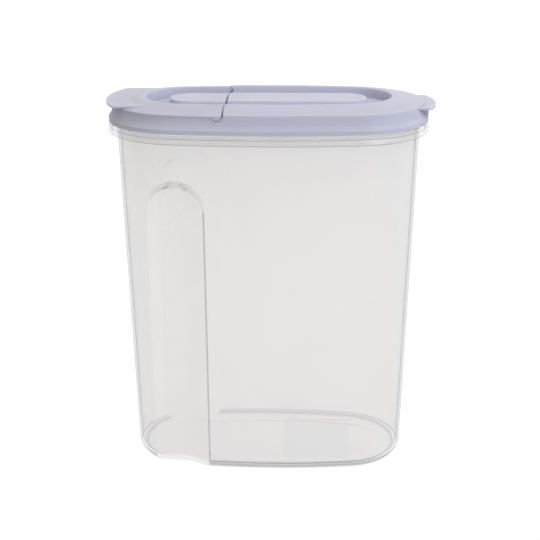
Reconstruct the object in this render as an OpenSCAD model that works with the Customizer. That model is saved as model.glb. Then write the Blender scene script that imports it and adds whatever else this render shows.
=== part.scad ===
// Oval cereal keeper: a tall tapered tub with finger grips, a snap-over lid
// and a flap hinged across the lid that uncovers the pour opening.
// Origin: middle of the underside. +X runs to the pull tab, -X to the spout.

/* [Tub] */
// Half length of the tub, outside the wall at the flange
tub_half_length = 94.3; // [88:0.1:110]
// Half depth of the tub, outside the wall at the flange
tub_half_depth = 46.9; // [45.5:0.1:50]
// Radius of the tub's round ends at the flange
tub_end_radius = 43.5; // [42:0.1:44.5]
// Height of the tub's top edge
tub_height = 233.3; // [215:0.1:290]
// Lean of the tub wall from upright, in degrees
tub_draft = 1.33; // [0.8:0.01:1.6]
// Thickness of the tub wall
tub_wall = 1.6; // [1.2:0.1:2]
// Thickness of the tub floor
tub_floor = 2; // [1.5:0.1:3]
// Gap under the floor, inside the foot ring
foot_lift = 1; // [0.6:0.1:1.6]
// Width of the foot ring that the tub stands on
foot_width = 5; // [3:0.5:8]
// Radius round the outside of the base
base_radius = 7.5; // [6:0.5:9]
// Radius round the inside of the base
inner_base_radius = 6; // [5:0.5:7]

/* [Flange] */
// Drop from the tub's top edge to the flange's shelf
shelf_drop = 5.8; // [5.6:0.1:7]
// Height of the flange, from its lower edge to the shelf
flange_height = 6.2; // [6:0.1:7]
// Reach of the flange's bead beyond the wall
flange_reach = 5.9; // [5.6:0.1:6.3]
// Thickness of the flange
flange_wall = 1.4; // [1.2:0.1:1.6]
// Radius of the round bead along the flange's lower edge
flange_bead = 1.3; // [1:0.1:1.4]
// Reach of the snap bead beyond the wall at the top edge
snap_bead = 0.7; // [0.4:0.05:0.8]

/* [Finger grips] */
// Distance from the middle of the tub to the middle of a grip's round top
grip_offset = 55.8; // [54:0.1:58]
// Half width of a grip
grip_half_width = 18.5; // [15:0.1:19.5]
// Height of the middle of the grip's round top
grip_height = 175.2; // [120:0.1:185]
// Depth of a grip at the base, from the middle of the tub's long side
grip_depth = 14.8; // [14.5:0.1:15.5]
// Distance from the middle of the tub to the deepest line of a grip
hollow_offset = 62; // [61.5:0.1:63]
// Radius of the hollow along a grip
hollow_radius = 32; // [31.5:0.5:34]
// Lean of a grip's hollow from upright, in degrees
hollow_lean = 1.6; // [1.55:0.01:1.65]

/* [Lid] */
// Gap between the tub's top edge and the lid that sits on it
seat_gap = 0.3; // [0.2:0.05:0.5]
// Thickness of the lid's walls
lid_wall = 1.4; // [1.2:0.05:1.6]
// Gap between the flange's shelf and the skirt's lower edge
skirt_gap = 0.4; // [0.3:0.05:0.6]
// Gap between the flap's lower edge and the ledge that it closes on
ledge_gap = 0.1; // [0.1:0.05:0.3]
// Reach of the skirt's lower edge beyond the tub wall
skirt_reach = 5; // [4.8:0.1:5.2]
// Height of the upright band along the skirt's lower edge
skirt_band = 2.7; // [2.4:0.1:3]
// Reach of the lid's shoulder beyond the tub wall
shoulder_reach = 2.3; // [2.1:0.1:2.5]
// Height of the lid's shoulder above the tub's top edge
shoulder_rise = 6.2; // [6:0.1:6.6]
// Rise of the lid's top from the shoulder to the crest
crest_rise = 3; // [2.8:0.1:3.2]
// Distance from the shoulder in to the crest
crest_inset = 16.8; // [16:0.1:17]
// Gap between the lid's plug ring and the inside of the tub
plug_gap = 0.35; // [0.25:0.05:0.5]
// Depth of the plug ring below the tub's top edge
plug_depth = 6.8; // [5:0.1:8]
// Thickness of the ribs that seat the lid on the tub
seat_rib = 1.2; // [1:0.1:1.6]

/* [Well and island] */
// Half length of the well in the lid's top
well_half_length = 76.5; // [75:0.1:77.5]
// Half depth of the well
well_half_depth = 31; // [30.5:0.1:31.2]
// Radius of the well's round ends
well_end_radius = 28; // [26:0.1:29]
// Depth of the well below the crest
well_depth = 6; // [5.5:0.1:6.2]
// Half length of the raised island in the well
island_half_length = 61; // [56:0.5:66]
// Half width of the island
island_half_width = 13.5; // [10:0.1:18]
// Drop from the crest to the island's top
island_drop = 1.3; // [1:0.1:2]
// Lean of the walls of the well and the island, in degrees
well_draft = 6; // [3:0.5:8]

/* [Flap and hinge] */
// Distance from the middle of the lid to the flap's hinge edge
seam_offset = 25.65; // [24:0.05:27]
// Gap across the seam between the flap and the lid
seam_gap = 1.15; // [1.1:0.05:1.3]
// Height of the lid's crest above the flap's crest
flap_drop = 0.4; // [0.35:0.05:0.5]
// Distance from the hinge pins to the flap's hinge edge
hinge_inset = 3; // [2.9:0.05:3.1]
// Drop from the lid's crest to the hinge axis
hinge_drop = 3.75; // [3.7:0.05:3.8]
// Radius of the hinge pins
pin_radius = 0.9; // [0.8:0.05:0.95]
// Running clearance round the hinge pins
pin_clearance = 0.05; // [0.03:0.01:0.08]
// Radius of the lugs round the hinge pins
lug_radius = 1.65; // [1.6:0.05:1.7]
// Gap between the flap's well and the collar round the pour opening
collar_gap = 0.35; // [0.3:0.05:0.5]
// Distance from the hinge axis to the edge of the pour opening
spout_inset = 7.75; // [7:0.05:10]
// Height of the seal rib under the flap's floor
seal_rib = 2; // [1:0.1:2.2]

/* [Lip and tab] */
// Distance from the middle of the lid to the end of the flap's lip
lip_reach = 100.2; // [99:0.1:104]
// Half width of the flap's lip
lip_half_width = 29.4; // [24:0.1:29.6]
// Radius across the end of the lip
lip_end_radius = 60; // [50:1:80]
// Drop from the flap's crest to the top of the lip
lip_drop = 1.15; // [0.9:0.05:1.4]
// Distance from the middle of the lid to the end of the pull tab
tab_reach = 103.5; // [102:0.1:106]
// Half width of the pull tab
tab_half_width = 20.5; // [16:0.1:21.5]
// Radius across the end of the tab
tab_end_radius = 54; // [45:1:65]
// Drop from the shoulder to the top of the tab
tab_drop = 0.8; // [0.7:0.05:1]
// Distance from the middle of the tab to each of its ribs
tab_rib_offset = 10; // [8:0.5:12]
// Radius of the corners of the lip and the tab
corner_radius = 3; // [2:0.5:4]
// Thickness of the tab's ribs
tab_rib = 1.4; // [1:0.1:1.6]

/* [Hidden] */
$fn = 60;
far = 200;

// How far each swept profile reaches in from its oval
tub_reach = 26;
well_reach = 20;

// Levels
floor_top = foot_lift + tub_floor;
shelf_z = tub_height - shelf_drop;
flange_z = shelf_z - flange_height;
skirt_z = shelf_z + skirt_gap;
shoulder_z = tub_height + shoulder_rise;
crest_z = shoulder_z + crest_rise;
deck_bottom = tub_height + seat_gap;
deck_top = deck_bottom + lid_wall;
flap_crest = crest_z - flap_drop;
flap_shoulder = shoulder_z - flap_drop;
flap_floor_bottom = flap_crest - well_depth - lid_wall;
ledge_z = flap_shoulder - lid_wall - ledge_gap;
hinge_z = crest_z - hinge_drop;
collar_top = flap_crest - lid_wall - 2 * seat_gap - 0.2;
trough_top = flap_floor_bottom - 1.3;
trough_bottom = trough_top - lid_wall;

// Places along the length
tub_end_x = tub_half_length - tub_end_radius;
well_end_x = well_half_length - well_end_radius;
island_end_x = island_half_length - island_half_width;
flap_x = -seam_offset;
lid_x = flap_x + seam_gap;
web_x = lid_x + lid_wall / 2;
hinge_x = flap_x - hinge_inset;
spout_x = hinge_x - spout_inset;

// Radius of the long sides of an oval with round ends of radius r at +-c
function side_radius(c, b, r) = (c * c + b * b - r * r) / (2 * (b - r));

// How far an oval's outline lies inside its half depth at a place x
function side_sag(x, c, b, r) = x < c
    ? side_radius(c, b, r) - sqrt(pow(side_radius(c, b, r), 2) - x * x)
    : b - sqrt(r * r - pow(x - c, 2));

// Outside of the tub wall: offset from its outline at a height
function wall_at(z) = (z - flange_z) * tan(tub_draft);

// Height of a lid top at an offset from the tub's outline
function slope_at(crest, d) = crest - crest_rise
    + crest_rise * (shoulder_reach - d) / crest_inset;

// Points of a round stretch, by its centre, radius and two angles
function arc(x, y, r, a0, a1, n) = [for (i = [0 : n])
    [x + r * cos(a0 + (a1 - a0) * i / n), y + r * sin(a0 + (a1 - a0) * i / n)]];

// Sweeps a profile round an oval: x is the offset from the outline, y the height.
// The long sides lie a hair inside the round ends and run a little way into them.
module swept(c, b, r) {
    side = side_radius(c, b, r);
    turn = atan2(side - b, c);
    lap = 0.1;
    hair = 0.01;
    for (half = [0, 180]) rotate(half) {
        translate([c, 0, 0])
            rotate_extrude(angle = 2 * turn, start = -turn) translate([r, 0]) children();
        translate([0, b - side, 0])
            rotate_extrude(angle = 180 - 2 * turn + 2 * lap, start = turn - lap)
                translate([side - hair, 0]) children();
    }
}

module tub_swept() {
    swept(tub_end_x, tub_half_depth, tub_end_radius) children();
}

module well_swept() {
    swept(well_end_x, well_half_depth, well_end_radius) children();
}

// Fills the middle that a swept profile leaves open
module core(c, b, r, reach, z0, z1) {
    translate([-c - r + reach - 1, -b + reach - 1, z0])
        cube([2 * (c + r - reach + 1), 2 * (b - reach + 1), z1 - z0]);
}

// Solid oval that follows the tub's outline at an offset
module tub_oval(d, z0, z1) {
    tub_swept() translate([-tub_reach, z0]) square([tub_reach + d, z1 - z0]);
    core(tub_end_x, tub_half_depth, tub_end_radius, tub_reach, z0, z1);
}

// Solid oval that follows the well's outline at an offset
module well_oval(d, z0, z1) {
    well_swept() translate([-well_reach, z0]) square([well_reach + d, z1 - z0]);
    core(well_end_x, well_half_depth, well_end_radius, well_reach, z0, z1);
}

// Everything on the spout side of a plane across the lid
module left_of(x) {
    translate([x - far, -far / 2, flange_z]) cube([far, far, far / 4]);
}

// Everything on the tab side of a plane across the lid
module right_of(x) {
    translate([x, -far / 2, flange_z]) cube([far, far, far / 4]);
}

// A bar along the hinge axis, from y0 to y1 on both sides
module hinge_bars(r, y0, y1) {
    for (side = [0, 1]) mirror([0, side, 0]) translate([hinge_x, y1, hinge_z])
        rotate([90, 0, 0]) cylinder(h = y1 - y0, r = r);
}

// ---- Tub ----

// Solid with the tub's outer form: foot ring, round base edge, drafted wall,
// turned-down flange with a round bead, and the snap bead at the top edge
module tub_form() {
    k = tan(tub_draft);
    n = sqrt(1 + k * k);
    round_d = wall_at(base_radius) - base_radius * n;
    face = flange_reach - 0.9;
    inside = face - flange_wall;
    bead_d = flange_reach - flange_bead;
    snap_z = tub_height - 1.6;
    tub_swept() polygon(concat([
                [-tub_reach, foot_lift],
                [round_d - foot_width, foot_lift],
                [round_d - foot_width + foot_lift, 0]],
                arc(round_d, base_radius, base_radius, -90, -tub_draft, 4), [
                [wall_at(shelf_z - flange_wall), shelf_z - flange_wall],
                [inside - 0.7, shelf_z - flange_wall - 0.2],
                [inside, shelf_z - flange_wall - 0.9],
                [inside, flange_z]],
                arc(bead_d, flange_z + flange_bead, flange_bead, -90, 75, 4), [
                [face - 0.5, shelf_z - 2.7],
                [face, shelf_z - 2],
                [face, shelf_z - 0.4],
                [face - 0.4, shelf_z],
                [wall_at(shelf_z + 0.6), shelf_z + 0.6],
                [wall_at(snap_z - 0.9), snap_z - 0.9],
                [wall_at(snap_z) + snap_bead, snap_z - 0.2],
                [wall_at(snap_z) + snap_bead, snap_z + 0.2],
                [wall_at(tub_height), tub_height - 0.4],
                [wall_at(tub_height) - 0.4, tub_height],
                [-tub_reach, tub_height]
            ]));
    core(tub_end_x, tub_half_depth, tub_end_radius, tub_reach, foot_lift, tub_height);
}

// Space inside the tub, before the grips reach into it
module tub_space() {
    k = tan(tub_draft);
    n = sqrt(1 + k * k);
    round_z = floor_top + inner_base_radius;
    round_d = wall_at(round_z) - tub_wall - inner_base_radius * n;
    top = tub_height + 2;
    tub_swept() polygon(concat([
        [-tub_reach, floor_top]],
        arc(round_d, round_z, inner_base_radius, -90, -tub_draft, 3), [
        [wall_at(top) - tub_wall, top],
        [-tub_reach, top]]));
    core(tub_end_x, tub_half_depth, tub_end_radius, tub_reach, floor_top, top);
}

// One grip at the front, grown by g: an arch cut across a hollow that leans
// with the tub's wall
module grip(g) {
    axis_y = tub_half_depth + wall_at(0) - grip_depth + hollow_radius;
    intersection() {
        union() {
            translate([-grip_offset, -far / 2, grip_height]) rotate([90, 0, 0])
                cylinder(h = far, r = grip_half_width + g, center = true);
            translate([-grip_offset - grip_half_width - g, -far, -far / 4])
                cube([2 * (grip_half_width + g), far, far / 4 + grip_height]);
        }
        translate([-hollow_offset, -axis_y, 0]) rotate([hollow_lean, 0, 0])
            translate([0, 0, -far / 4]) cylinder(h = 2 * far, r = hollow_radius + g);
    }
}

// The two grips, front and back, grown by g
module grips(g) {
    for (side = [0, 1]) mirror([0, side, 0]) grip(g);
}

module tub() {
    color([0.93, 0.93, 0.92, 0.6])
    difference() {
        tub_form();
        grips(0);
        difference() {
            tub_space();
            grips(tub_wall);
        }
    }
}

// ---- Lid top: the same form on the lid and on the flap ----

// Space of the well, grown by t and deepened by t, up to a height z1
module well_space(crest, t, z1) {
    z0 = crest - well_depth - t;
    lean = tan(well_draft);
    well_swept() polygon([
        [-well_reach, z0],
        [t - (crest - z0) * lean, z0],
        [t - (crest - z1) * lean, z1],
        [-well_reach, z1]
    ]);
    core(well_end_x, well_half_depth, well_end_radius, well_reach, z0, z1);
}

// The island, drawn in by t and lowered by t
module island(crest, t) {
    z0 = crest - well_depth - lid_wall * 0.75 - t;
    z1 = crest - island_drop - t;
    r1 = island_half_width - t;
    r0 = r1 + (z1 - z0) * tan(well_draft);
    for (half = [0, 180]) rotate(half) translate([island_end_x, 0, 0])
        rotate_extrude(angle = 180, start = -90)
            polygon([[0, z0], [r0, z0], [r1, z1], [0, z1]]);
    translate([-island_end_x, 0, 0]) rotate([90, 0, 90]) linear_extrude(2 * island_end_x)
        polygon([[-r0, z0], [r0, z0], [r1, z1], [-r1, z1]]);
}

// A lid top made from a swept rim: sunk well with a raised island
module lid_top(crest) {
    difference() {
        union() {
            difference() {
                union() {
                    children();
                    well_space(crest, lid_wall, crest - lid_wall / 2);
                }
                well_space(crest, 0, crest + 5);
            }
            island(crest, 0);
        }
        island(crest, lid_wall);
    }
}

// ---- Lid ----

// Outside of the skirt, from its lower edge up to a height z1
function skirt_outer(z1) = let (
    step_z = skirt_z + skirt_band,
    foot_z = step_z + 0.6,
    foot_d = skirt_reach - 0.6,
    w = foot_d - shoulder_reach,
    h = z1 - foot_z,
    r = (h * h + w * w) / (2 * w))
    concat([[skirt_reach, skirt_z], [skirt_reach, step_z]],
        arc(shoulder_reach + r, z1, r, 180 + asin(h / r), 180, 3));

// Inside of the skirt, from a height z1 down to its lower edge, with the ridge
// that snaps under the tub's bead
function skirt_inner(z1) = let (
    foot_z = skirt_z + skirt_band + 0.6,
    foot_d = skirt_reach - 0.6,
    w = foot_d - shoulder_reach,
    h = z1 - foot_z,
    r = (h * h + w * w) / (2 * w),
    ridge = snap_bead + wall_at(tub_height) + 0.3,
    inner = skirt_reach - lid_wall)
    concat(arc(shoulder_reach + r, z1, r + lid_wall, 180, 180 + asin((h - 0.4) / r), 3), [
        [ridge, foot_z - 0.8],
        [ridge, foot_z - 1.4],
        [inner, foot_z - 2.4],
        [inner, skirt_z]]);

// Profile of the lid's rim on the tab side: skirt, shoulder, slope, plug ring
module rim_profile() {
    flare_z = shoulder_z - 2;
    plug_d = wall_at(tub_height) - tub_wall - plug_gap;
    plug_z = tub_height - plug_depth;
    crest_d = shoulder_reach - crest_inset;
    polygon(concat(
        skirt_outer(flare_z), [
        [shoulder_reach, shoulder_z],
        [crest_d, crest_z],
        [-tub_reach, crest_z],
        [-tub_reach, crest_z - lid_wall],
        [crest_d, crest_z - lid_wall],
        [plug_d - lid_wall, slope_at(crest_z, plug_d - lid_wall) - lid_wall],
        [plug_d - lid_wall, plug_z + 0.8],
        [plug_d - lid_wall + 0.4, plug_z],
        [plug_d - 0.7, plug_z],
        [plug_d, plug_z + 5],
        [plug_d, slope_at(crest_z, plug_d) - lid_wall],
        [shoulder_reach - lid_wall, shoulder_z - lid_wall + 0.1]],
        skirt_inner(flare_z)));
}

// Profile of the lid's rim under the flap: skirt, deck and plug ring
module deck_profile() {
    flare_z = shoulder_z - 2;
    plug_d = wall_at(tub_height) - tub_wall - plug_gap;
    plug_z = tub_height - plug_depth;
    intersection() {
        union() {
            polygon(concat(
                skirt_outer(flare_z), [
                [shoulder_reach, shoulder_z],
                [shoulder_reach - lid_wall, shoulder_z]],
                skirt_inner(flare_z)));
            polygon([
                [shoulder_reach - lid_wall / 2, deck_bottom],
                [shoulder_reach - lid_wall / 2, deck_top],
                [-tub_reach, deck_top],
                [-tub_reach, deck_bottom],
                [plug_d - lid_wall, deck_bottom],
                [plug_d - lid_wall, plug_z + 0.8],
                [plug_d - lid_wall + 0.4, plug_z],
                [plug_d - 0.7, plug_z],
                [plug_d, plug_z + 5],
                [plug_d, deck_bottom]
            ]);
        }
        translate([-tub_reach - 1, 0]) square([2 * tub_reach, ledge_z]);
    }
}

// Ribs between skirt and plug ring that rest on the tub's edge
module seat_ribs() {
    top = shoulder_z - 0.2;
    inner = -tub_wall - lid_wall;
    depth = shoulder_reach - inner - lid_wall / 2;
    for (turn = [-50, 0, 50]) translate([tub_end_x, 0, 0]) rotate(turn)
        translate([tub_end_radius + inner, -seat_rib / 2, deck_bottom])
            cube([depth, seat_rib, top - deck_bottom]);
    for (side = [-1, 1])
        translate([0, side * (tub_half_depth + inner + depth / 2), (deck_bottom + top) / 2])
            cube([seat_rib, depth, top - deck_bottom], center = true);
}

// Everything but the room that the flap's hinge end swings through, cut from
// the ends of the well's walls under the crest
module swing_room() {
    z0 = crest_z - well_depth + 0.2;
    z1 = crest_z - lid_wall - seat_gap;
    difference() {
        translate([-far, -far, 0]) cube(2 * far);
        for (side = [-1, 1])
            translate([lid_x - 1, side * (well_half_depth - 0.4) - 2.1, z0])
                cube([web_x + 1.2 - lid_x, 4.2, z1 - z0]);
    }
}

// Tab side of the lid, closed along the seam by a web
module fixed_side() {
    intersection() {
        union() {
            lid_top(crest_z) tub_swept() rim_profile();
            seat_ribs();
        }
        right_of(lid_x);
        swing_room();
    }
    intersection() {
        difference() {
            tub_oval(shoulder_reach - lid_wall / 2, deck_bottom, crest_z - crest_rise);
            well_space(crest_z, lid_wall / 2, crest_z + 5);
        }
        translate([web_x, -far / 2, 0]) cube([lid_wall, far, 2 * far]);
    }
}

// Collar round the pour opening, with the lugs for the hinge pins
module collar() {
    inner = lid_wall + collar_gap;
    intersection() {
        well_swept() translate([inner, trough_bottom])
            square([lid_wall, hinge_z + lug_radius + 1 - trough_bottom]);
        union() {
            translate([hinge_x - far, -far / 2, 0]) cube([far, far, collar_top]);
            translate([hinge_x - far, -far / 2, 0])
                cube([web_x + lid_wall / 2 - hinge_x + far, far, deck_top]);
            translate([hinge_x - 1, -far / 2, 0])
                cube([1 + lug_radius * 0.7, far, hinge_z]);
            hinge_bars(lug_radius, 0, tub_half_depth);
        }
    }
}

// Floor of the trough that the flap's hinge end swings in, and its curb
module trough() {
    reach = collar_gap + lid_wall * 1.5;
    intersection() {
        union() {
            translate([spout_x, -far / 2, trough_bottom])
                cube([web_x + lid_wall - spout_x, far, lid_wall]);
            translate([spout_x, -far / 2, trough_bottom])
                cube([lid_wall, far, flap_floor_bottom - seat_gap - trough_bottom]);
            translate([web_x, -far / 2, trough_bottom])
                cube([lid_wall, far, crest_z - well_depth - lid_wall / 2 - trough_bottom]);
        }
        well_oval(reach, trough_bottom - 1, crest_z);
    }
}

// Spout side of the lid: skirt, deck, collar and trough under the flap
module spout_side() {
    relief = norm([hinge_inset, hinge_z - flap_shoulder + lid_wall]) + seat_gap / 2;
    difference() {
        intersection() {
            tub_swept() deck_profile();
            left_of(web_x + lid_wall / 2);
        }
        well_oval(collar_gap + lid_wall * 1.5, trough_bottom - 1, deck_top + 1);
        hinge_bars(relief, tub_half_depth - 2 * lid_wall, tub_half_depth + 2 * skirt_reach);
    }
    collar();
    trough();
}

// Outline of a plate with a curved end and rounded corners
module plate(reach, half_width, end_radius) {
    in_r = end_radius - corner_radius;
    in_w = half_width - corner_radius;
    corner_x = reach - end_radius + sqrt(in_r * in_r - in_w * in_w);
    root_x = tub_end_x;
    intersection() {
        translate([reach - end_radius, 0]) circle(end_radius);
        union() {
            translate([root_x, -half_width]) square([corner_x - root_x, 2 * half_width]);
            translate([root_x, -in_w]) square([reach - root_x, 2 * in_w]);
            for (side = [-1, 1]) translate([corner_x, side * in_w]) circle(corner_radius);
        }
    }
}

// Pull tab with its two ribs
module tab() {
    tab_z = shoulder_z - tab_drop - lid_wall;
    rib_d = tub_half_length + skirt_reach - lid_wall / 2;
    difference() {
        translate([0, 0, tab_z]) linear_extrude(lid_wall)
            plate(tab_reach, tab_half_width, tab_end_radius);
        tub_oval(shoulder_reach - lid_wall / 2, tab_z - 1, tab_z + lid_wall + 1);
    }
    for (side = [-1, 1]) translate([0, side * tab_rib_offset + tab_rib / 2, 0])
        rotate([90, 0, 0]) linear_extrude(tab_rib) polygon([
            [rib_d - 2.4, tab_z + lid_wall / 2],
            [rib_d - 1.6, skirt_z + skirt_band + 1.6],
            [rib_d - 0.4, skirt_z + 0.6],
            [rib_d, skirt_z + 0.6],
            [rib_d, tab_z + lid_wall / 2]
        ]);
}

module lid() {
    color([0.80, 0.80, 0.88])
    difference() {
        union() {
            fixed_side();
            spout_side();
            tab();
        }
        hinge_bars(pin_radius + pin_clearance, 0, tub_half_depth - 2 * lid_wall);
    }
}

// ---- Flap ----

// Profile of the flap's rim: its slope and crest
module flap_profile() {
    crest_d = shoulder_reach - crest_inset;
    polygon([
        [shoulder_reach, flap_shoulder - lid_wall],
        [shoulder_reach, flap_shoulder],
        [crest_d, flap_crest],
        [-tub_reach, flap_crest],
        [-tub_reach, flap_crest - lid_wall],
        [crest_d, flap_crest - lid_wall]
    ]);
}

// Lip that a finger lifts the flap by
module lip() {
    lip_z = flap_crest - lip_drop - lid_wall;
    cover_d = shoulder_reach - crest_inset * (1 + (lip_drop + lid_wall / 2 - crest_rise) / crest_rise);
    mirror([1, 0, 0]) difference() {
        translate([0, 0, lip_z]) linear_extrude(lid_wall)
            plate(lip_reach, lip_half_width, lip_end_radius);
        tub_oval(cover_d, lip_z - 1, lip_z + lid_wall + 1);
    }
}

// Seal rib under the flap's floor, along the edge of the pour opening
module seal() {
    half = well_half_depth - well_depth;
    translate([spout_x - 2 * seat_gap - lid_wall, -half, flap_floor_bottom - seal_rib])
        cube([lid_wall, 2 * half, seal_rib + lid_wall / 2]);
}

// Cheeks that fill the skirt's reliefs under the flap's hinge end
module cheeks() {
    top = flap_shoulder - lid_wall / 2;
    foot = hinge_z - hinge_inset - 0.5;
    intersection() {
        tub_swept() polygon([
            [shoulder_reach - lid_wall, top],
            [shoulder_reach - lid_wall + 0.2, foot],
            [shoulder_reach + 0.2, foot],
            [shoulder_reach - 0.05, shoulder_z - 2],
            [shoulder_reach - 0.05, top]
        ]);
        hinge_bars(hinge_inset - 0.05, tub_half_depth - lid_wall, tub_half_depth + 2 * skirt_reach);
    }
}

module flap() {
    well_y = well_half_depth - side_sag(-hinge_x, well_end_x, well_half_depth, well_end_radius);
    lean = (flap_crest - hinge_z) * tan(well_draft);
    root_y = well_y + lid_wall / 2 - lean;
    lug_y = well_y + lid_wall + collar_gap;
    color([0.82, 0.82, 0.89])
    union() {
        difference() {
            intersection() {
                lid_top(flap_crest) tub_swept() flap_profile();
                left_of(flap_x);
            }
            hinge_bars(lug_radius + seat_gap, well_y + lid_wall, lug_y + lid_wall + 2 * seat_gap);
        }
        hinge_bars(lug_radius, root_y, lug_y - seat_gap / 2);
        hinge_bars(pin_radius, root_y, lug_y + lid_wall + seat_gap);
        lip();
        seal();
        cheeks();
    }
}

tub();
lid();
flap();
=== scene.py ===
import math

import bmesh
import bpy
from mathutils import Matrix, Vector


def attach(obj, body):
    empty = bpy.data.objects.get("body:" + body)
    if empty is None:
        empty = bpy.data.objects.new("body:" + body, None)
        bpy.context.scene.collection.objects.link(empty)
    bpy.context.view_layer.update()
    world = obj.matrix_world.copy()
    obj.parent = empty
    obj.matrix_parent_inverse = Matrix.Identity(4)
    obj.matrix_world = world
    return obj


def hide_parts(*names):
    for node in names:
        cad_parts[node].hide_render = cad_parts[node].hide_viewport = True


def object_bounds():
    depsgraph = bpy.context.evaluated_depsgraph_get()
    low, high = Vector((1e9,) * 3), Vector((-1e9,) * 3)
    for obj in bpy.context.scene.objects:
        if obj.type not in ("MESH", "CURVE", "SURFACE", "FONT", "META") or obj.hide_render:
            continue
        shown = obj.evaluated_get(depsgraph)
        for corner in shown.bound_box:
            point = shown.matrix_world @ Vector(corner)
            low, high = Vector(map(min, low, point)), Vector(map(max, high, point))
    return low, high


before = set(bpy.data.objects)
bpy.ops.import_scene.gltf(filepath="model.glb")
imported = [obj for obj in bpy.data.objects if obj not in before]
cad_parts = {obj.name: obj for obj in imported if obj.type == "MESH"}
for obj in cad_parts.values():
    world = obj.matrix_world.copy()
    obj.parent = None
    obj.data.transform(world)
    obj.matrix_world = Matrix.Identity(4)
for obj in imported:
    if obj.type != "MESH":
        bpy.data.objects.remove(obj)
cad_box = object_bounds()

MM = 0.001


# ---- Places on the keeper ----

# Heights of the lid's edges
CREST = cad_box[1][2]
ISLAND_TOP = CREST - 1.3 * MM
SHOULDER = CREST - 3.0 * MM

# Heights of the groove round the flange, of the lower side of its bead, and of the floor's top
FLANGE_GROOVE = CREST - 17.5 * MM
BEAD_FOOT = CREST - 20.9 * MM
FLOOR_TOP = 3.0 * MM

# Place along the keeper of the upright round that ends each finger grip, on the side of the middle
GRIP_ROUND = -37.8 * MM

# Engraved line on the island
LINE_LENGTH = 46.0 * MM
LINE_WIDTH = 1.0 * MM
LINE_MIDDLE = (0.5 * MM, 4.15 * MM, ISLAND_TOP)
LINE_TURN = math.radians(-0.6)

# Mark of the mould's gate on the island
GATE_RADIUS = 1.2 * MM
GATE_SIDES = 24
GATE_MIDDLE = (0.1 * MM, -4.4 * MM, ISLAND_TOP)

# Both marks are cut by tools of this height, half of it below the surface
CUTTER_HEIGHT = 1.2 * MM

# Label panel on the tub's floor
PANEL_X = (9.9 * MM, 55.0 * MM)
PANEL_Y = (-26.0 * MM, 27.9 * MM)
PANEL_RISE = 0.3 * MM
PANEL_ROOT = 0.6 * MM
PANEL_CORNER = 2.0 * MM
PANEL_RIM = 0.12 * MM

# Rounding of the lid's outward edges
EDGE_SOFTNESS = 0.35 * MM


# ---- Colour and node helpers ----

def hex_colour(code):
    """sRGB hex to the linear colour that a shader socket takes."""
    parts = [int(code[i:i + 2], 16) / 255 for i in (1, 3, 5)]
    return tuple(p / 12.92 if p <= 0.04045 else ((p + 0.055) / 1.055) ** 2.4 for p in parts) + (1.0,)


def add_node(material, kind, settings=None, values=None, links=None):
    """Adds a shader node, sets its properties and inputs, and links inputs to other outputs.

    An input goes by its name, or by its number where a node has several of one name."""
    node = material.node_tree.nodes.new(kind)
    for name, setting in (settings or {}).items():
        setattr(node, name, setting)
    for name, value in (values or {}).items():
        node.inputs[name].default_value = value
    for name, source in (links or {}).items():
        material.node_tree.links.new(source, node.inputs[name])
    return node


def new_material(name):
    material = bpy.data.materials.new(name)
    material.use_nodes = True
    material.node_tree.nodes.clear()
    return material


# ---- Finishes ----

POLYPROPYLENE_IOR = 1.49

# Depth of the satin that the mould leaves in the skin, and the size of the slow waves of flow in a wall
SATIN_DEPTH = 0.2 * MM
FLOW_WAVE = 40 * MM


def add_line(material, along, facing, centre, reach, strength, tilt):
    """A soft line at one place in metres, on faces turned past a limit, or short of a negative one."""
    past = add_node(material, "ShaderNodeMath", {"operation": "SUBTRACT"}, {1: centre}, {0: along})
    apart = add_node(material, "ShaderNodeMath", {"operation": "ABSOLUTE"},
                     links={0: past.outputs["Value"]})
    fade = add_node(material, "ShaderNodeMapRange",
                    values={"From Max": reach, "To Min": strength, "To Max": 0.0},
                    links={"Value": apart.outputs["Value"]})
    face = add_node(material, "ShaderNodeMath",
                    {"operation": "GREATER_THAN" if tilt > 0 else "LESS_THAN"}, {1: tilt}, {0: facing})
    line = add_node(material, "ShaderNodeMath", {"operation": "MULTIPLY"},
                    links={0: fade.outputs["Result"], 1: face.outputs["Value"]})
    return line.outputs["Value"]


def satin_skin(material, place, grains_per_mm, strength):
    """The normal of a satin moulded skin. Its grains are drawn as coarse as they need to show."""
    satin = add_node(material, "ShaderNodeTexNoise",
                     values={"Scale": grains_per_mm / MM, "Detail": 1.0}, links={"Vector": place})
    bump = add_node(material, "ShaderNodeBump",
                    values={"Strength": strength, "Distance": SATIN_DEPTH},
                    links={"Height": satin.outputs["Fac"]})
    return bump.outputs["Normal"]


def milky_skin(material, skin):
    """The milk in the skin: light scattered back and light scattered through, in equal parts."""
    milk_white = hex_colour("#f0eeeb")
    back = add_node(material, "ShaderNodeBsdfDiffuse", values={"Color": milk_white},
                    links={"Normal": skin})
    through = add_node(material, "ShaderNodeBsdfTranslucent", values={"Color": milk_white},
                       links={"Normal": skin})
    milk = add_node(material, "ShaderNodeMixShader", values={0: 0.5},
                    links={1: back.outputs["BSDF"], 2: through.outputs["BSDF"]})
    return milk.outputs["Shader"]


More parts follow.
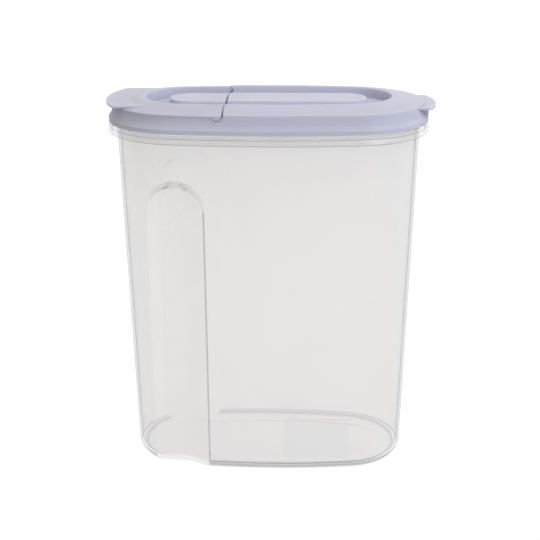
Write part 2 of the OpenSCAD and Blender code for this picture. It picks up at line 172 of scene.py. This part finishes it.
def painted_shade_and_panel_tint(material, place, side, front):
    """Soft dark lilac lines of painted shade: in the crease round the floor inside, on the downward faces
    round the foot, under the flange's groove and its bead, and on the outer upright round of each finger
    grip; and a faint tint over the label panel's top.
    """
    turned = add_node(material, "ShaderNodeSeparateXYZ", links={"Vector": side.outputs["Normal"]})
    sideways, upward = turned.outputs["X"], turned.outputs["Z"]
    spot = add_node(material, "ShaderNodeSeparateXYZ", links={"Vector": place})
    along, height = spot.outputs["X"], spot.outputs["Z"]
    # Painted shade in the crease round the floor inside, and on the downward faces round the foot
    root_inside = add_line(material, height, upward, centre=FLOOR_TOP + 0.9 * MM, reach=0.7 * MM,
                           strength=0.42, tilt=0.2)
    root_outside = add_line(material, height, upward, centre=FLOOR_TOP + 1.5 * MM, reach=3.0 * MM,
                            strength=0.6, tilt=-0.1)
    panel = add_line(material, height, upward, centre=FLOOR_TOP + PANEL_RISE, reach=0.2 * MM,
                     strength=0.05, tilt=0.9)
    # Painted shade on the downward faces under the flange's groove and under its bead
    groove = add_line(material, height, upward, centre=FLANGE_GROOVE, reach=0.7 * MM,
                      strength=0.55, tilt=-0.3)
    bead = add_line(material, height, upward, centre=BEAD_FOOT, reach=0.7 * MM,
                    strength=0.6, tilt=-0.3)
    # Painted shade on the outer upright round that ends each finger grip, where the wall is seen edge on
    grip = add_line(material, along, sideways, centre=GRIP_ROUND, reach=1.3 * MM,
                    strength=0.45, tilt=-0.5)
    # The painted shade line lies on the outside of the wall only
    outer_grip = add_node(material, "ShaderNodeMath", {"operation": "MULTIPLY"},
                          links={0: front, 1: grip})
    return root_inside, root_outside, panel, groove, bead, outer_grip.outputs["Value"]


def lilac_tint(material, slant, places):
    """The clear plastic, lilac where it is seen edge on, and darkened to lilac along the lines of painted
    shade and the panel's tint.
    """
    edge_falloff = 13.0
    edge = add_node(material, "ShaderNodeMath", {"operation": "POWER"}, {1: edge_falloff}, {0: slant})
    edge_lilac_and_painted_shade = edge.outputs["Value"]
    # Each line of painted shade darkens the clear plastic towards lilac
    for line in places:
        darker = add_node(material, "ShaderNodeMath", {"operation": "MAXIMUM"},
                          links={0: edge_lilac_and_painted_shade, 1: line})
        edge_lilac_and_painted_shade = darker.outputs["Value"]
    # A colour mix takes its factor at input 0 and its colours at 6 and 7, and ends at output 2
    tint = add_node(material, "ShaderNodeMix", {"data_type": "RGBA"},
                    {6: hex_colour("#fefefe"), 7: hex_colour("#55557c")}, {0: edge_lilac_and_painted_shade})
    clear = add_node(material, "ShaderNodeBsdfTransparent", links={"Color": tint.outputs[2]})
    return clear.outputs["BSDF"]


def haze(material, place, slant):
    """How milky the wall is: most where it is seen flat on, and patchy with the waves of flow."""
    slant_falloff = 2.2
    steep = add_node(material, "ShaderNodeMath", {"operation": "POWER"}, {1: slant_falloff}, {0: slant})
    thick = add_node(material, "ShaderNodeMapRange", values={"To Min": 0.19, "To Max": 0.06},
                     links={"Value": steep.outputs["Value"]})
    flow = add_node(material, "ShaderNodeTexNoise",
                    values={"Scale": 1 / FLOW_WAVE, "Detail": 2.0, "Roughness": 0.4},
                    links={"Vector": place})
    patch = add_node(material, "ShaderNodeMapRange", values={"To Min": 0.9, "To Max": 1.1},
                     links={"Value": flow.outputs["Fac"]})
    amount = add_node(material, "ShaderNodeMath", {"operation": "MULTIPLY"},
                      links={0: thick.outputs["Result"], 1: patch.outputs["Result"]})
    return amount.outputs["Value"]


def natural_polypropylene():
    """Natural polypropylene, injection moulded: milky, see-through, lilac edge on and along lines of
    painted shade, satin gloss.
    """
    material = new_material("natural_polypropylene")
    place = add_node(material, "ShaderNodeTexCoord").outputs["Object"]
    slant = add_node(material, "ShaderNodeLayerWeight", values={"Blend": 0.5}).outputs["Facing"]
    side = add_node(material, "ShaderNodeNewGeometry")
    # 1 on the faces seen from the air, 0 on their backs
    front = add_node(material, "ShaderNodeMath", {"operation": "SUBTRACT"}, {0: 1.0},
                     {1: side.outputs["Backfacing"]}).outputs["Value"]
    skin = satin_skin(material, place, grains_per_mm=2.5, strength=0.015)
    # The clear part carries the lines of painted shade
    clear = lilac_tint(material, slant, painted_shade_and_panel_tint(material, place, side, front))
    wall = add_node(material, "ShaderNodeMixShader",
                    links={0: haze(material, place, slant), 1: clear, 2: milky_skin(material, skin)})
    gloss = add_node(material, "ShaderNodeBsdfGlossy", values={"Roughness": 0.18},
                     links={"Normal": skin})
    mirror = add_node(material, "ShaderNodeFresnel", values={"IOR": POLYPROPYLENE_IOR},
                      links={"Normal": skin})
    # The mirror lies on the faces seen from the air, not on their backs
    shine = add_node(material, "ShaderNodeMath", {"operation": "MULTIPLY"},
                     links={0: mirror.outputs["Fac"], 1: front})
    surface = add_node(material, "ShaderNodeMixShader",
                       links={0: shine.outputs["Value"], 1: wall.outputs["Shader"],
                              2: gloss.outputs["BSDF"]})
    depth = add_node(material, "ShaderNodeVolumeAbsorption",
                     values={"Density": 9.0, "Color": hex_colour("#b8b8c8")})
    add_node(material, "ShaderNodeOutputMaterial",
             links={"Surface": surface.outputs["Shader"], "Volume": depth.outputs["Volume"]})
    return material


def lilac_polypropylene():
    """Coloured polypropylene, injection moulded: pale lilac, a little light comes through, satin gloss."""
    material = new_material("lilac_polypropylene")
    place = add_node(material, "ShaderNodeTexCoord").outputs["Object"]
    skin = satin_skin(material, place, grains_per_mm=2.2, strength=0.05)
    body = add_node(material, "ShaderNodeBsdfPrincipled",
                    values={"Base Color": hex_colour("#c9cad8"),
                            "Roughness": 0.38,
                            "IOR": POLYPROPYLENE_IOR,
                            "Specular IOR Level": 0.05,
                            "Subsurface Weight": 0.6,
                            "Subsurface Radius": (1.0, 1.0, 1.1),
                            "Subsurface Scale": 4.0 * MM},
                    links={"Normal": skin})
    glow = add_node(material, "ShaderNodeBsdfTranslucent", values={"Color": hex_colour("#e0e1ee")},
                    links={"Normal": skin})
    wall = add_node(material, "ShaderNodeMixShader", values={0: 0.32},
                    links={1: body.outputs["BSDF"], 2: glow.outputs["BSDF"]})
    add_node(material, "ShaderNodeOutputMaterial", links={"Surface": wall.outputs["Shader"]})
    return material


def studio_white():
    """White paper sweep: clean white where it is seen or mirrored, grey where it lights the keeper."""
    material = new_material("studio_white")
    paper = add_node(material, "ShaderNodeBsdfDiffuse", values={"Color": hex_colour("#bcbcbc")})
    clean = add_node(material, "ShaderNodeEmission", values={"Strength": 1.05})
    path = add_node(material, "ShaderNodeLightPath")
    seen = add_node(material, "ShaderNodeMath", {"operation": "MAXIMUM"},
                    links={0: path.outputs["Is Camera Ray"], 1: path.outputs["Is Glossy Ray"]})
    sweep = add_node(material, "ShaderNodeMixShader",
                     links={0: seen.outputs["Value"], 1: paper.outputs["BSDF"],
                            2: clean.outputs["Emission"]})
    add_node(material, "ShaderNodeOutputMaterial", links={"Surface": sweep.outputs["Shader"]})
    return material


TUB_PLASTIC = natural_polypropylene()
LID_PLASTIC = lilac_polypropylene()


def dress(piece, material):
    piece.data.materials.clear()
    piece.data.materials.append(material)


# ---- Visible mouldings: the CAD solids with their small details ----

# Corners nearer than this are one, and an edge this near a height lies on it
WELD = 0.002 * MM
LEVEL_SLACK = 0.04 * MM

# Angles between faces: one flat face, one smooth round, and an edge sharp enough to be softened
FLAT_ANGLE = math.radians(0.3)
ROUND_ANGLE = math.radians(8)
SHARP_ANGLE = math.radians(35)


def select_only(piece):
    bpy.ops.object.select_all(action="DESELECT")
    piece.select_set(True)
    bpy.context.view_layer.objects.active = piece


def apply_place(piece):
    """Puts a new piece's place, turn and size into its mesh."""
    select_only(piece)
    bpy.ops.object.transform_apply(location=True, rotation=True, scale=True)


def welded_copy(node, name):
    """A copy of a CAD moulding with its triangles joined up, for details that CAD leaves out."""
    piece = bpy.data.objects.new(name, bpy.data.objects[node].data.copy())
    bpy.context.scene.collection.objects.link(piece)
    select_only(piece)
    bpy.ops.object.mode_set(mode="EDIT")
    bpy.ops.mesh.select_all(action="SELECT")
    bpy.ops.mesh.remove_doubles(threshold=WELD)
    bpy.ops.object.mode_set(mode="OBJECT")
    return piece


def combine(piece, tool, operation):
    """Cuts the tool's shape out of a piece, or joins it on."""
    select_only(piece)
    change = piece.modifiers.new("change", "BOOLEAN")
    change.operation = operation
    change.solver = "EXACT"
    change.object = tool
    bpy.ops.object.modifier_apply(modifier=change.name)
    bpy.data.objects.remove(tool)


def engraver():
    """A bar that cuts the fine line into the island."""
    bpy.ops.object.select_all(action="DESELECT")
    bpy.ops.mesh.primitive_cube_add(size=1.0, location=LINE_MIDDLE, rotation=(0, 0, LINE_TURN))
    bar = bpy.context.object
    bar.scale = (LINE_LENGTH, LINE_WIDTH, CUTTER_HEIGHT)
    apply_place(bar)
    return bar


def gate_cutter():
    """A short round bar that cuts the mark that the mould's gate leaves."""
    bpy.ops.object.select_all(action="DESELECT")
    bpy.ops.mesh.primitive_cylinder_add(vertices=GATE_SIDES, radius=GATE_RADIUS, depth=CUTTER_HEIGHT,
                                        location=GATE_MIDDLE)
    cutter = bpy.context.object
    apply_place(cutter)
    return cutter


def select_edges(piece, wanted):
    """Opens a piece for editing with the wanted edges selected, each judged by its two ends."""
    select_only(piece)
    bpy.ops.object.mode_set(mode="EDIT")
    bpy.ops.mesh.select_mode(type="EDGE")
    bpy.ops.mesh.select_all(action="DESELECT")
    shape = bmesh.from_edit_mesh(piece.data)
    for edge in shape.edges:
        edge.select_set(wanted(edge.verts[0].co, edge.verts[1].co))
    bmesh.update_edit_mesh(piece.data)


def label_panel():
    """The bare plate on the tub's floor: rounded corners, softened rim, and a root inside the floor."""
    low = Vector((PANEL_X[0], PANEL_Y[0], FLOOR_TOP - PANEL_ROOT))
    high = Vector((PANEL_X[1], PANEL_Y[1], FLOOR_TOP + PANEL_RISE))
    bpy.ops.object.select_all(action="DESELECT")
    bpy.ops.mesh.primitive_cube_add(size=1.0, location=(low + high) / 2)
    plate = bpy.context.object
    plate.scale = high - low
    apply_place(plate)
    select_edges(plate, lambda a, b: abs(a.z - b.z) > LEVEL_SLACK)
    bpy.ops.mesh.bevel(offset=PANEL_CORNER, segments=4, affect="EDGES")
    bpy.ops.object.mode_set(mode="OBJECT")
    select_edges(plate, lambda a, b: min(a.z, b.z) > high.z - LEVEL_SLACK)
    bpy.ops.mesh.bevel(offset=PANEL_RIM, segments=2, affect="EDGES")
    bpy.ops.object.mode_set(mode="OBJECT")
    return plate


def soften_level(piece, level):
    """Rounds the sharp outward edges that run round a piece at one height."""
    select_edges(piece, lambda a, b: max(abs(a.z - level), abs(b.z - level)) < LEVEL_SLACK)
    shape = bmesh.from_edit_mesh(piece.data)
    for edge in shape.edges:
        if edge.select and not (edge.is_convex and edge.calc_face_angle(0) > SHARP_ANGLE):
            edge.select_set(False)
    bmesh.update_edit_mesh(piece.data)
    bpy.ops.mesh.bevel(offset=EDGE_SOFTNESS, segments=2, affect="EDGES", clamp_overlap=False)
    bpy.ops.object.mode_set(mode="OBJECT")


def join_flats(piece):
    """Merges the triangles of each flat or nearly flat strip into larger faces."""
    select_only(piece)
    bpy.ops.object.mode_set(mode="EDIT")
    bpy.ops.mesh.select_all(action="SELECT")
    bpy.ops.mesh.dissolve_limited(angle_limit=FLAT_ANGLE)
    bpy.ops.object.mode_set(mode="OBJECT")


def smooth(piece):
    """Shades the rounds smoothly and leaves the moulded edges crisp."""
    select_only(piece)
    bpy.ops.object.shade_smooth_by_angle(angle=ROUND_ANGLE)
    even = piece.modifiers.new("even", "WEIGHTED_NORMAL")
    even.keep_sharp = True
    bpy.ops.object.modifier_apply(modifier=even.name)


def build_lid():
    """The lid, with the fine line and the gate mark on its island and softened outer edges."""
    lid = welded_copy("lid", "lid_moulding")
    join_flats(lid)
    for level in (SHOULDER, ISLAND_TOP, CREST):
        soften_level(lid, level)
    combine(lid, engraver(), "DIFFERENCE")
    combine(lid, gate_cutter(), "DIFFERENCE")
    smooth(lid)
    dress(lid, LID_PLASTIC)
    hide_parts("lid")
    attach(lid, "lid")


def build_tub():
    """The tub, with the bare label panel standing up from its floor."""
    tub = welded_copy("tub", "tub_moulding")
    combine(tub, label_panel(), "UNION")
    smooth(tub)
    dress(tub, TUB_PLASTIC)
    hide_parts("tub")
    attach(tub, "tub")


build_tub()
build_lid()
dress(bpy.data.objects["flap"], LID_PLASTIC)


# ---- Studio ----

# The sweep lies just under the foot
SWEEP_SIZE = 60.0
SWEEP_HEIGHT = -0.2 * MM

# The camera looks down on the keeper's front, a little from the right. Lens and sensor are in millimetres
CAMERA_PLACE = (0.02485, -0.67517, 0.37040)
CAMERA_PAN = math.radians(2.033)
CAMERA_DIP = math.radians(19.83)
CAMERA_ROLL = math.radians(-0.187)
CAMERA_LENS = 72.93
CAMERA_SENSOR = 36.0


def add_sweep():
    bpy.ops.object.select_all(action="DESELECT")
    bpy.ops.mesh.primitive_plane_add(size=SWEEP_SIZE, location=(0, 0, SWEEP_HEIGHT))
    floor = bpy.context.object
    floor.name = "studio_floor"
    floor.data.materials.append(studio_white())
    apply_place(floor)


def add_light(name, place, aim, width, height, power, colour="#ffffff"):
    """A lit rectangle at a place, turned to a point, all in metres, with its power in watts."""
    data = bpy.data.lights.new(name, "AREA")
    data.shape = "RECTANGLE"
    data.size = width
    data.size_y = height
    data.energy = power
    data.color = hex_colour(colour)[:3]
    light = bpy.data.objects.new(name, data)
    bpy.context.scene.collection.objects.link(light)
    light.location = place
    light.rotation_euler = (Vector(aim) - Vector(place)).to_track_quat("-Z", "Y").to_euler()


def add_world(colour, strength):
    world = bpy.data.worlds.new("studio_air")
    bpy.context.scene.world = world
    world.use_nodes = True
    back = world.node_tree.nodes["Background"]
    back.inputs["Color"].default_value = hex_colour(colour)
    back.inputs["Strength"].default_value = strength


def add_camera():
    data = bpy.data.cameras.new("camera")
    data.sensor_width = CAMERA_SENSOR
    data.lens = CAMERA_LENS
    camera = bpy.data.objects.new("camera", data)
    bpy.context.scene.collection.objects.link(camera)
    turn = Matrix.Rotation(CAMERA_PAN, 4, "Z") @ Matrix.Rotation(math.radians(90) - CAMERA_DIP, 4, "X")
    camera.matrix_world = (Matrix.Translation(CAMERA_PLACE) @ turn
                           @ Matrix.Rotation(CAMERA_ROLL, 4, "Z"))
    bpy.context.scene.camera = camera


add_sweep()
add_world(colour="#fffaf4", strength=0.72)
add_light("back_panel", place=(0.0, 2.6, 1.05), aim=(0, 0, 0.6), width=4.4, height=1.6, power=20.0)
add_light("top_softbox", place=(0.0, 0.0, 1.8), aim=(0, 0, 0.2), width=2.0, height=2.0, power=5.0)
add_light("right_softbox", place=(1.2, -1.1, 1.3), aim=(0, 0, 0.2), width=1.6, height=1.6, power=29.5,
          colour="#ecf3ff")
add_camera()

bpy.context.scene.view_settings.view_transform = "Standard"
